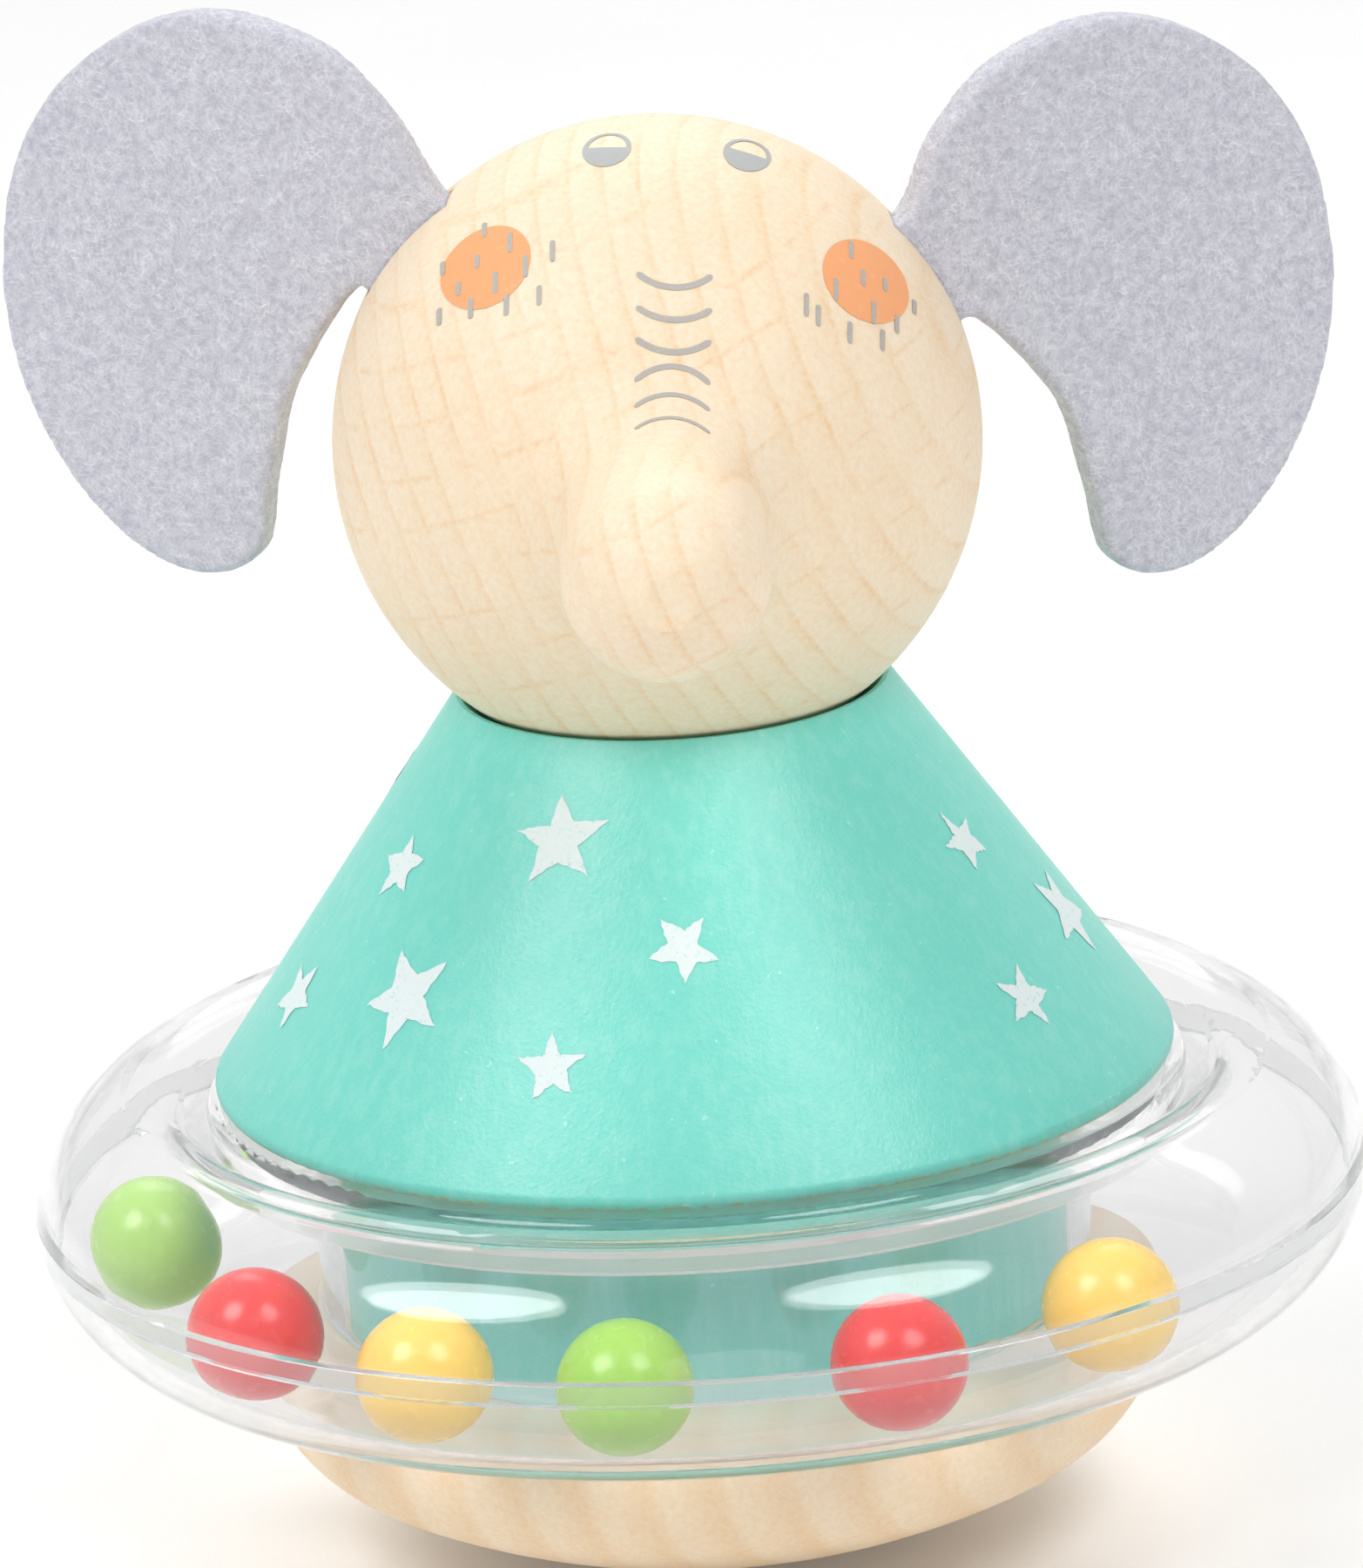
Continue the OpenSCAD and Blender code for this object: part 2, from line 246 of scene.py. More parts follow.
studio = bpy.data.worlds.new("studio")
studio.use_nodes = True
tree = studio.node_tree
toward = add_node(tree, "TexCoord").outputs["Generated"]
behind = add_node(tree, "SeparateXYZ", {"Vector": toward}).outputs["Y"]
glow = spread_out(tree, behind, *room_turn, room_dim, room_bright)
tree.links.new(glow, tree.nodes["Background"].inputs["Strength"])
tree.nodes["Background"].inputs["Color"].default_value = white
bpy.context.scene.world = studio
bpy.context.scene.view_settings.view_transform = "Standard"
light_paths = bpy.context.scene.cycles
light_paths.max_bounces = most_bounces
light_paths.glossy_bounces = most_kind_bounces
light_paths.transmission_bounces = most_kind_bounces
light_paths.transparent_max_bounces = most_kind_bounces
for name, (place, aim, size, power) in soft_boxes.items():
    lamp = bpy.data.objects.new(name, bpy.data.lights.new(name, "AREA"))
    lamp.data.shape, lamp.data.size, lamp.data.energy = "DISK", size, power
    lamp.location = place
    lamp.rotation_euler = (Vector(aim) - lamp.location).to_track_quat("-Z", "Y").to_euler()
    bpy.context.scene.collection.objects.link(lamp)
bpy.data.lights["floor_wash"].spread = wash_spread
print("studio:", len(soft_boxes), "soft boxes over a floor of", 2 * floor_size, "m")

# %% [markdown]
# ## Beech
# Pale beech shows soft warm lines where each year's growth ended, about 2.5 mm apart, crossed by broken
# lines, with a fine mottle between. On a turned ball the lines run straight through the block, so a
# pattern in solid space is right and no unwrapping is needed: a saw-tooth wave gives a year line its one
# sharp side. Head, dome and dowels share the group, each turned its own way.

# %% Beech grain group
year_pitch, ray_pitch = 2.5 * mm, 3.5 * mm
# The wave's scale that gives bands one metre apart
wave_unit = math.pi / 10
ray_turn, ray_weight = math.radians(92), 0.75
# Noise scales, per metre
grit_grain, mottle_grain, break_grain, fade_grain, blush_grain = 2600, 1900, 240, 130, 75
year_stops = [(0.0, 0.0), (0.6, 0.03), (0.78, 0.3), (0.90, 1.0), (0.97, 0.45), (1.0, 0.0)]
ray_stops = [(0.0, 0.0), (0.80, 0.0), (0.92, 1.0), (1.0, 0.0)]
band_stops = [(0.0, 0.0), (0.3, 0.15), (0.75, 1.0), (1.0, 0.0)]

wood, takes, gives = start_group(
    "beech_grain",
    [("Vector", "Vector", None), ("Pale", "Color", (0.9, 0.75, 0.55, 1)),
     ("Warm", "Color", (0.8, 0.5, 0.26, 1)), ("Lines", "Float", 0.5), ("Bands", "Float", 0.1),
     ("Pitch", "Float", year_pitch)],
    [("Color", "Color"), ("Height", "Float"), ("Roughness", "Float")],
)
solid = takes["Vector"]
years = wave_of(wood, solid, math_of(wood, "DIVIDE", wave_unit, takes["Pitch"]), "SAW", 0.8, 2.5, 0.5, 0.6)
grit = noise_of(wood, solid, grit_grain, 3, 0.6)
fade = spread_out(wood, noise_of(wood, solid, fade_grain, 3), 0.34, 0.66, 0.15, 1.0)
year_line = math_of(wood, "MULTIPLY", ramp(wood, years, year_stops), fade)
year_line = math_of(wood, "MULTIPLY", year_line, spread_out(wood, grit, 0.36, 0.6, 0.35, 1.1))
crossed = add_node(wood, "Mapping", {"Vector": solid, "Rotation": (0, ray_turn, 0)}).outputs["Vector"]
rays = wave_of(wood, crossed, wave_unit / ray_pitch, "SAW", 1.2, 2.0, 0.5, 0.6)
broken = spread_out(wood, noise_of(wood, solid, break_grain, 3), 0.45, 0.58)
broken = math_of(wood, "MULTIPLY", broken, spread_out(wood, grit, 0.36, 0.6, 0.3, 1.1))
ray_line = math_of(wood, "MULTIPLY", ramp(wood, rays, ray_stops), broken)
lines = math_of(wood, "MAXIMUM", year_line, math_of(wood, "MULTIPLY", ray_line, ray_weight))
mottle = noise_of(wood, solid, mottle_grain, 4, 0.65)
blush = spread_out(wood, noise_of(wood, solid, blush_grain, 3), 0.3, 0.75, 0.0, 0.16)
tint = math_of(wood, "ADD", math_of(wood, "MULTIPLY", lines, takes["Lines"]), blush)
soft_years = math_of(wood, "MULTIPLY", ramp(wood, years, band_stops), takes["Bands"])
tint = math_of(wood, "ADD", tint, soft_years)
tint = math_of(wood, "ADD", tint, spread_out(wood, mottle, 0.38, 0.7, -0.04, 0.26))
wood.links.new(mix_colours(wood, tint, takes["Pale"], takes["Warm"]), gives["Color"])
wood.links.new(math_of(wood, "SUBTRACT", mottle, lines), gives["Height"])
wood.links.new(spread_out(wood, mottle, 0.2, 0.8, 0.46, 0.6), gives["Roughness"])
print("group:", wood.name, len(wood.nodes), "nodes")

# %% Beech finishes
beech_pale = (0.945, 0.81, 0.62, 1)
beech_warm = (0.85, 0.54, 0.26, 1)
beech_depth = 0.012 * mm
# Turn of the grain in degrees, weights of the year lines and of the soft bands, and pitch of the years
beech_cuts = {
    "head": ((0, 20, 8), 0.5, 0.05, year_pitch),
    "base_dome": ((0, 9, 12), 0.12, 0.3, 2 * year_pitch),
    "centre_dowel": ((0, 90, 0), 0.4, 0.1, year_pitch),
    "neck_dowel": ((0, 90, 30), 0.4, 0.1, year_pitch),
}


def beech_finish(name, turn, lines, bands, pitch):
    material, tree, shader = start_material("beech_" + name, IOR=1.45)
    inputs = {"Vector": object_vector(tree, turn), "Pale": beech_pale, "Warm": beech_warm}
    inputs |= {"Lines": lines, "Bands": bands, "Pitch": pitch}
    grain = place_group(tree, wood, inputs)
    wire(tree, grain["Color"], shader, "Base Color")
    wire(tree, grain["Roughness"], shader, "Roughness")
    bump(tree, shader, grain["Height"], beech_depth)
    return material


for name, cut in beech_cuts.items():
    nodes[name].data.materials[0] = beech_finish(name, *cut)
print("beech on:", ", ".join(beech_cuts))

# %% [markdown]
# ## Teal paint
# Cone and hub are dipped in a satin paint thin enough to show the wood: fine fibres raise the skin, and
# faint streaks run down the slope. At the foot the paint stops short in a ragged line, dark with painted
# shade.
# One could paint this edge by hand in texture paint, but no picture may be used, so a mask from the
# height on the piece, roughened by noise, does it at any size.

# %% Paint skin group
# Noise scales, per metre
nap_grain, speck_grain, streak_grain, cloud_grain = 2600, 1500, 900, 120
streak_squash = (1, 1, 0.12)
streak_height, speck_weight = 0.6, 0.6

skin, takes, gives = start_group(
    "paint_skin",
    [("Vector", "Vector", None), ("Paint", "Color", (0.1, 0.6, 0.5, 1)),
     ("Thin", "Color", (0.3, 0.75, 0.6, 1))],
    [("Color", "Color"), ("Height", "Float"), ("Roughness", "Float")],
)
solid = takes["Vector"]
squashed = add_node(skin, "Mapping", {"Vector": solid, "Scale": streak_squash}).outputs["Vector"]
streaks = noise_of(skin, squashed, streak_grain, 4, 0.6)
nap = noise_of(skin, solid, nap_grain, 3, 0.6)
cloud = noise_of(skin, solid, cloud_grain, 3)
specks = spread_out(skin, noise_of(skin, solid, speck_grain, 1), 0.74, 0.80)
thin = math_of(skin, "MULTIPLY", spread_out(skin, streaks, 0.45, 0.75, 0.0, 0.5), cloud)
thin = math_of(skin, "ADD", thin, spread_out(skin, nap, 0.3, 0.8, -0.05, 0.13))
thin = math_of(skin, "ADD", thin, math_of(skin, "MULTIPLY", specks, speck_weight))
raised = math_of(skin, "ADD", nap, math_of(skin, "MULTIPLY", streaks, streak_height))
skin.links.new(mix_colours(skin, thin, takes["Paint"], takes["Thin"]), gives["Color"])
skin.links.new(raised, gives["Height"])
skin.links.new(spread_out(skin, cloud, 0.3, 0.7, 0.33, 0.43), gives["Roughness"])
print("group:", skin.name, len(skin.nodes), "nodes")

# %% Teal finishes
teal_full = (0.185, 0.73, 0.62, 1)
teal_thin = (0.45, 0.86, 0.77, 1)
# The hub's teal is the cone's paint made a little darker: painted shade for the shadow under the cone's
# overhang
hub_teal_in_shade = (0.15, 0.71, 0.59, 1)
# Bare wood at the foot's edge, painted olive and dark: painted shade for the gap under the cone
bare_wood_in_shade = (0.40, 0.50, 0.30, 1)
bare_width, bare_rise, bare_grain = 0.28 * mm, 0.1 * mm, 1400
paint_depth = 0.045 * mm
cone_low, cone_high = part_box("cone_body")


def teal_finish(name, paint, bare_levels):
    """bare_levels are heights on the piece where the paint ends in a ragged line, coloured as bare wood
    darkened by painted shade.
    """
    material, tree, shader = start_material("teal_" + name, IOR=1.6)
    place = object_vector(tree)
    coat = place_group(tree, skin, {"Vector": place, "Paint": paint, "Thin": teal_thin})
    colour = coat["Color"]
    height = add_node(tree, "SeparateXYZ", {"Vector": place}).outputs["Z"]
    ragged = spread_out(tree, noise_of(tree, place, bare_grain, 3), 0.3, 0.7, -bare_width, bare_width)
    height = math_of(tree, "ADD", height, ragged)
    for level in bare_levels:
        away = math_of(tree, "ABSOLUTE", math_of(tree, "SUBTRACT", height, level))
        bare = spread_out(tree, away, 0.4 * bare_width, bare_width, 0.85, 0.0)
        colour = mix_colours(tree, bare, colour, bare_wood_in_shade)
    wire(tree, colour, shader, "Base Color")
    wire(tree, coat["Roughness"], shader, "Roughness")
    bump(tree, shader, coat["Height"], paint_depth)
    return material


nodes["cone_body"].data.materials[0] = teal_finish("cone", teal_full, [cone_low.z + bare_rise])
nodes["hub"].data.materials[0] = teal_finish("hub", hub_teal_in_shade, [])
print("teal on: cone_body and hub, with a bare line at", round(cone_low.z / mm, 1), "mm")

# %% [markdown]
# ## Clear ring
# The ring is two clear mouldings with a lapped seam. Their walls are real in the frame, 1.5 mm thick with
# an inside and an outside, so a transmitting shader bends light twice in each wall as the plastic does.
# A see-through mix would be cheaper, but loses the seam line. A full index makes the many walls trap
# light in black streaks, so the index is low and a clear coat gives the polish back. What is still caught
# after a few walls is painted in as a pale glow, standing in for the light that clear plastic carries to
# its edges. Faint haze from handling varies the roughness, and a slow ripple left by moulding bends the
# reflections.

# %% Clear plastic
clear_tint = (0.925, 0.918, 0.922, 1)
clear_index, polish_index = 1.1, 1.52
painted_edge_glow = (0.64, 0.685, 0.68, 1)
# Bounces after which light starts to count as caught, and after which all of it does
trapped_depth = (4, 7)
shadow_tint = (0.95, 0.95, 0.95, 1)
haze_grain, ripple_grain, ripple_depth = 260, 90, 0.05 * mm


def clear_finish(name):
    material, tree, shader = start_material(
        "clear_" + name, Base_Color=clear_tint, IOR=clear_index, Transmission_Weight=0.985,
        Coat_Weight=1.0, Coat_IOR=polish_index, Coat_Roughness=0.07)
    place = object_vector(tree)
    haze = spread_out(tree, noise_of(tree, place, haze_grain, 4, 0.7), 0.5, 0.8, 0.0, 0.04)
    wire(tree, haze, shader, "Roughness")
    bump(tree, shader, noise_of(tree, place, ripple_grain, 2), ripple_depth)
    passing = add_node(tree, "BsdfTransparent", {"Color": shadow_tint}).outputs[0]
    # Painted light: an emission that stands in for light carried along the clear walls
    painted_glow = add_node(tree, "Emission", {"Color": painted_edge_glow}).outputs[0]
    material.cycles.emission_sampling = "NONE"
    path = add_node(tree, "LightPath").outputs
    trapped = spread_out(tree, path["Ray Depth"], *trapped_depth)
    mixed = add_node(tree, "MixShader", {0: trapped, 1: shader.outputs[0], 2: painted_glow}).outputs[0]
    mixed = add_node(tree, "MixShader", {0: path["Is Shadow Ray"], 1: mixed, 2: passing}).outputs[0]
    tree.links.new(mixed, tree.nodes["Material Output"].inputs["Surface"])
    return material


clear_material = clear_finish("ring")
for name in ("ring_lower_shell", "ring_upper_shell"):
    nodes[name].data.materials[0] = clear_material
print("clear on: both ring shells")

# %% [markdown]
# ## Beads and weight
# The beads are glossy moulded balls in three colours. Each gets a faint swirl of its own pigment and a
# little haze from rolling against its neighbours. The steel disc in the dome is hidden, but a model is
# also opened up, so it gets turned rings: a wave in rings round the axis drives its roughness.

# %% Bead and steel finishes
bead_colours = {
    "green": (0.34, 0.64, 0.08, 1), "red": (0.80, 0.025, 0.025, 1), "yellow": (0.98, 0.64, 0.12, 1),
}
bead_pale, bead_glow = 0.06, [2 * mm] * 3
swirl_grain, scuff_grain, turning_scale = 280, 900, 900
steel_dark, steel_bright = (0.50, 0.51, 0.52, 1), (0.60, 0.61, 0.62, 1)


def bead_finish(name, colour):
    material, tree, shader = start_material(
        "bead_" + name, IOR=1.5, Subsurface_Weight=0.15, Subsurface_Radius=bead_glow)
    place = object_vector(tree)
    swirl = noise_of(tree, place, swirl_grain, 3, 0.6, 1.2)
    paler = [c + (1 - c) * bead_pale for c in colour[:3]] + [1]
    wire(tree, mix_colours(tree, swirl, colour, paler), shader, "Base Color")
    scuffs = noise_of(tree, place, scuff_grain, 3)
    wire(tree, spread_out(tree, scuffs, 0.3, 0.7, 0.16, 0.3), shader, "Roughness")
    return material


for name, colour in bead_colours.items():
    finish = bead_finish(name, colour)
    for node in nodes:
        if node.startswith("bead_" + name):
            nodes[node].data.materials[0] = finish

steel, tree, shader = start_material("turned_steel", Metallic=1.0)
place = object_vector(tree)
inputs = {"Vector": place, "Scale": turning_scale, "Distortion": 0.8, "Detail": 2}
rings = add_node(tree, "TexWave", inputs, wave_type="RINGS", rings_direction="Z").outputs["Fac"]
wire(tree, mix_colours(tree, rings, steel_dark, steel_bright), shader, "Base Color")
wire(tree, spread_out(tree, rings, 0, 1, 0.28, 0.42), shader, "Roughness")
nodes["counterweight"].data.materials[0] = steel
print("beads:", ", ".join(bead_colours), "and the steel disc")

# %% [markdown]
# ## Making a finished piece
# Prints and ears are new meshes. Each one is shaped in a bmesh, written to a mesh whose object stays at
# the origin, given its finishes and hung on the body it rides on.

# %% Piece helper
ink_wear, ink_grain = 0.7, 2400


def finish_piece(name, bm, body, materials):
    mesh = bpy.data.meshes.new(name)
    bm.to_mesh(mesh)
    bm.free()
    piece = bpy.data.objects.new(name, mesh)
    bpy.context.scene.collection.objects.link(piece)
    for material in materials:
        mesh.materials.append(material)
    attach(piece, body)
    print("piece:", name, len(mesh.polygons), "faces on", body)
    return piece


def join_into(bm, mark):
    """Adds one finished mark to the bmesh that collects them."""
    passing = bpy.data.meshes.new("passing")
    mark.to_mesh(passing)
    mark.free()
    bm.from_mesh(passing)
    bpy.data.meshes.remove(passing)


def ink_finish(name, colour, worn, grain, wear_from):
    """Printed ink: an even colour, worn through to another one in fine grains."""
    material, tree, shader = start_material("ink_" + name, IOR=1.45)
    place = object_vector(tree)
    wear = spread_out(tree, noise_of(tree, place, grain, 3, 0.7), wear_from, wear_from + 0.1, 0.0, ink_wear)
    wire(tree, mix_colours(tree, wear, colour, worn), shader, "Base Color")
    dull = noise_of(tree, place, ink_grain, 2)
    wire(tree, spread_out(tree, dull, 0.3, 0.7, 0.5, 0.62), shader, "Roughness")
    return material


print("piece helpers: ready")

# %% [markdown]
# ## Printed stars
# White stars are stamped round the cone, each cut a little unevenly. On the real toy a flat stamp rolls
# over the cone, so here each star is drawn flat too, then rolled up: distance along the slope and angle
# round the axis replace its flat coordinates. A star is a ten-sided circle with every second corner
# pulled in, which is one operator and one scale, and cuts along its edges let it bend with the cone.

# %% Stars
star_ink = ink_finish("star", (0.80, 0.90, 0.90, 1), (0.33, 0.72, 0.62, 1), grain=3200, wear_from=0.59)
star_waist = 0.43
star_rough = 0.09 * mm
ink_lift = 0.045 * mm
star_points, star_cuts = 5, 5
# Angle round the cone from the front, height above its foot, radius and turn
front_stars = [
    (-25.4, 23.4, 3.8, -9), (-63.6, 19.6, 2.75, -13), (-0.7, 16.6, 2.85, -35), (-47.5, 12.2, 4.1, -35),
    (-75.5, 9.4, 3.1, 21), (-20.1, 9.2, 2.8, -7), (62.6, 19.2, 2.6, -14), (79.5, 11.7, 4.0, -35),
    (53.8, 9.1, 2.75, 21),
]
back_stars = [
    (113, 22.5, 3.2, 12), (107, 5.8, 2.6, -28), (133, 13.4, 3.9, 5), (152, 21.2, 2.6, -20),
    (160, 8.4, 3.0, 30), (184, 15.2, 3.9, -14), (199, 23.0, 2.7, 8), (210, 7.2, 2.6, -32),
    (228, 17.6, 3.2, 18), (245, 9.6, 3.8, -6), (254, 22.4, 2.8, 26), (229, 4.8, 2.5, 0),
]
foot_r, rim_r = 36.6 * mm, 16.1 * mm
slope = math.atan2(foot_r - rim_r, cone_high.z - cone_low.z)
tip_z = cone_low.z + foot_r / math.tan(slope)


def roll_on_cone(point, angle, height):
    """Takes a flat point, with y up the slope, to its place on the cone's skin."""
    reach = (tip_z - cone_low.z - height) / math.cos(slope)
    flat = Vector((point.x, reach - point.y))
    turn = math.radians(angle) + math.atan2(flat.x, flat.y) / math.sin(slope)
    out = flat.length * math.sin(slope) + ink_lift * math.cos(slope)
    z = tip_z - flat.length * math.cos(slope) + ink_lift * math.sin(slope)
    return Vector((out * math.sin(turn), -out * math.cos(turn), z))


chance = random.Random(7)


def jolt(size):
    return Vector((chance.uniform(-1, 1), chance.uniform(-1, 1), 0)) * size


bm = bmesh.new()
for angle, height, radius, turn in front_stars + back_stars:
    star = bmesh.new()
    corners = bmesh.ops.create_circle(
        star, cap_ends=True, segments=2 * star_points, radius=radius * mm)["verts"]
    bmesh.ops.scale(star, vec=(star_waist, star_waist, 1), verts=corners[1::2])
    spun = Matrix.Rotation(math.radians(-turn), 3, "Z")
    bmesh.ops.rotate(star, cent=(0, 0, 0), matrix=spun, verts=corners)
    for corner in corners:
        corner.co += jolt(2 * star_rough)
    bmesh.ops.poke(star, faces=star.faces)
    bmesh.ops.subdivide_edges(star, edges=star.edges, cuts=star_cuts, use_grid_fill=True)
    for v in star.verts:
        if v.is_boundary:
            v.co += jolt(star_rough)
    for v in star.verts:
        v.co = roll_on_cone(v.co, angle, height * mm)
    join_into(bm, star)
bmesh.ops.recalc_face_normals(bm, faces=bm.faces)
finish_piece("star_prints", bm, "toy", [star_ink])

# %% [markdown]
# ## Printed face
# Eyes, cheeks, trunk creases and small freckle dashes are pressed on with one soft pad, from above the
# trunk at about 45 degrees and a few degrees off level. Drawing each mark on the curved head would need
# a new plane every time. Drawing all of them flat on the pad, in millimetres, and then dropping every
# corner along the pad's direction until it meets the head, is what the machine does, and bends them right.

# %% Pad press
pad_rise, pad_roll, pad_turn = math.radians(45), math.radians(6.3), math.radians(1.2)
oval_sides = 40
tiny = 1e-7
head_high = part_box("head")[1]
head_r = head_high.y
head_middle = Vector((0, 0, head_high.z - head_r))
head_tree = BVHTree.FromPolygons(
    [v.co for v in nodes["head"].data.vertices], [tuple(p.vertices) for p in nodes["head"].data.polygons])
pad = (Matrix.Rotation(pad_roll, 3, "Y") @ Matrix.Rotation(pad_turn, 3, "Z")
       @ Matrix.Rotation(math.pi / 2 - pad_rise, 3, "X"))


def press_on_head(bm):
    """Drops every vertex of a flat drawing along the pad's direction onto the head."""
    for v in bm.verts:
        start = head_middle + pad @ Vector((v.co.x, v.co.y, 3 * head_r))
        spot, normal, _, _ = head_tree.ray_cast(start, pad @ Vector((0, 0, -1)))
        v.co = spot + normal * (ink_lift + v.co.z)
    bmesh.ops.recalc_face_normals(bm, faces=bm.faces)


def at_pad(centre, lean=0.0):
    """A place on the pad, in millimetres, with a lean in degrees."""
    return Matrix.Translation(Vector((*centre, 0)) * mm) @ Matrix.Rotation(math.radians(lean), 4, "Z")


def oval_mark(half):
    """A flat oval about the origin, of one face."""
    mark = bmesh.new()
    bmesh.ops.create_circle(mark, cap_ends=True, segments=oval_sides, radius=1)
    bmesh.ops.scale(mark, vec=(half[0] * mm, half[1] * mm, 1), verts=mark.verts)
    return mark


print("pad:", round(math.degrees(pad_rise)), "degrees up, head", round(2 * head_r / mm), "mm")

# %% Cheeks
cheek_ink = ink_finish("cheek", (0.95, 0.42, 0.185, 1), (0.96, 0.52, 0.27, 1), grain=1500, wear_from=0.6)
cheek_cuts = 3
# Place on the pad, half width and half height, and lean
cheeks = [((-13.7, 2.6), (3.15, 3.7), 8), ((13.95, 2.9), (3.2, 3.85), -25)]
bm = bmesh.new()
for centre, half, lean in cheeks:
    cheek = oval_mark(half)
    bmesh.ops.poke(cheek, faces=cheek.faces)
    bmesh.ops.subdivide_edges(cheek, edges=cheek.edges, cuts=cheek_cuts, use_grid_fill=True)
    bmesh.ops.transform(cheek, matrix=at_pad(centre, lean), verts=cheek.verts)
    join_into(bm, cheek)
press_on_head(bm)
finish_piece("cheek_prints", bm, "toy", [cheek_ink])

# %% Trunk creases
line_ink = ink_finish("line", (0.48, 0.455, 0.42, 1), (0.62, 0.56, 0.47, 1), grain=3800, wear_from=0.58)
# Height of the ends and of the middle on the pad, and the stroke's width
creases = [
    (-0.05, -1.25, 0.48), (-2.8, -3.8, 0.464), (-5.2, -6.2, 0.44), (-8.4, -7.25, 0.416),
    (-10.65, -9.55, 0.368), (-12.95, -11.8, 0.304),
]
crease_half, crease_shift, crease_steps, crease_taper = 2.7, -0.25, 24, 0.6
bm = bmesh.new()
for ends, middle, width in creases:
    deep = middle - ends
    bend = (crease_half ** 2 + deep ** 2) / (2 * abs(deep))
    sweep = 2 * math.asin(crease_half / bend)
    centre = Vector((crease_shift, middle - math.copysign(bend, deep), 0)) * mm
    out = Vector((0, math.copysign(1, deep), 0))
    lower, upper = (bm.verts.new(centre + out * (bend + side * width / 2) * mm) for side in (-1, 1))
    stroke = bm.edges.new((lower, upper))
    back = Matrix.Rotation(-sweep / 2, 3, "Z")
    bmesh.ops.rotate(bm, cent=centre, matrix=back, verts=[lower, upper])
    swept = bmesh.ops.spin(
        bm, geom=[lower, upper, stroke], cent=centre, axis=(0, 0, 1), angle=sweep, steps=crease_steps)
    last = [v for v in swept["geom_last"] if isinstance(v, bmesh.types.BMVert)]
    for end in ([lower, upper], last):
        halfway = (end[0].co + end[1].co) / 2
        for v in end:
            v.co = v.co.lerp(halfway, crease_taper)
press_on_head(bm)
finish_piece("crease_prints", bm, "toy", [line_ink])

# %% Freckle dashes
freckle_width, freckle_sides = 0.36, 16
freckle_lift, freckle_inset = 0.6 * ink_lift, 0.08 * mm
# Place on the pad and length
freckles = [
    (-13.8, 6.1, 1.5), (-12.0, 4.1, 1.9), (-14.3, 3.2, 1.2), (-10.9, 1.6, 1.9), (-13.0, 0.8, 1.9),
    (-15.6, 1.3, 1.2), (-16.7, 3.8, 1.3), (-14.7, -0.7, 1.7), (-12.2, -1.3, 1.7), (-9.9, -1.1, 1.6),
    (-9.0, 2.5, 1.9), (-16.9, -0.4, 1.4), (12.8, 5.1, 1.7), (13.7, 2.9, 1.5), (15.4, 3.2, 1.2),
    (11.6, 0.9, 1.9), (14.5, 0.2, 1.9), (9.4, -1.1, 1.9), (10.3, -1.7, 1.7), (12.7, -2.2, 1.7),
    (15.2, -1.7, 1.7), (16.3, 0.2, 1.5), (17.7, 2.7, 1.3),
]
bm = bmesh.new()
for x, y, long in freckles:
    rounded = bmesh.ops.create_circle(
        bm, cap_ends=True, segments=freckle_sides, radius=freckle_width / 2 * mm)["verts"]
    half = (long - freckle_width) / 2 * mm
    for v in rounded:
        v.co.y += math.copysign(half, v.co.y + tiny)
    bmesh.ops.translate(bm, vec=(x * mm, y * mm, freckle_lift), verts=rounded)
bmesh.ops.inset_individual(bm, faces=bm.faces, thickness=freckle_inset)
press_on_head(bm)
finish_piece("freckle_prints", bm, "toy", [line_ink])

# %% Eyes
eye_ink = ink_finish("eye", (0.43, 0.445, 0.435, 1), (0.56, 0.55, 0.5, 1), grain=3800, wear_from=0.6)
eye_half, eye_line, eye_lid, eye_cuts = (1.75, 2.35), 0.34, 0.15, 2
# Place on the pad and lean
eyes = [((-5.05, 12.85), -8), ((5.2, 12.95), -14)]
bm = bmesh.new()
for centre, lean in eyes:
    rim = oval_mark(eye_half)
    pupil = rim.faces[:][0]
    bmesh.ops.inset_individual(rim, faces=[pupil], thickness=eye_line * mm)
    around = [pupil, *pupil.edges, *pupil.verts]
    bmesh.ops.bisect_plane(rim, geom=around, plane_co=(0, eye_lid * mm, 0), plane_no=(0, 1, 0))
    glint = max(rim.faces, key=lambda f: f.calc_center_median().y if len(f.verts) > 4 else -1)
    bmesh.ops.delete(rim, geom=[glint], context="FACES_ONLY")
    pupil = max(rim.faces, key=lambda f: len(f.verts))
    bmesh.ops.poke(rim, faces=[pupil])
    bmesh.ops.subdivide_edges(rim, edges=rim.edges, cuts=eye_cuts, use_grid_fill=True)
    bmesh.ops.transform(rim, matrix=at_pad(centre, lean), verts=rim.verts)
    join_into(bm, rim)
press_on_head(bm)
finish_piece("eye_prints", bm, "toy", [eye_ink])

# %% [markdown]
# ## Felt
# Pressed felt is a mat of pale fibres lying every way, with darker hollows between them. A weave pattern
# would be wrong, since nothing is woven. The crest of a strongly bent wave is a thin winding line of even
# width, so several such waves, laid in different directions and broken into lengths, draw a mat of fibres.

# %% Felt fibre group
fibre_ways = [0, 24, 49, 75, 98, 123, 151]
fibre_pitch, fibre_bend, fibre_weight = 0.42 * mm, 14.0, 0.22
# Shift of each layer against the one before, in metres, so that no two are alike
fibre_shift = Vector((0.013, 0.007, 0.011))
# Noise scales, per metre: the lengths of fibre get shorter from layer to layer
hollow_grain, length_grain, length_step = 1500, 380, 50

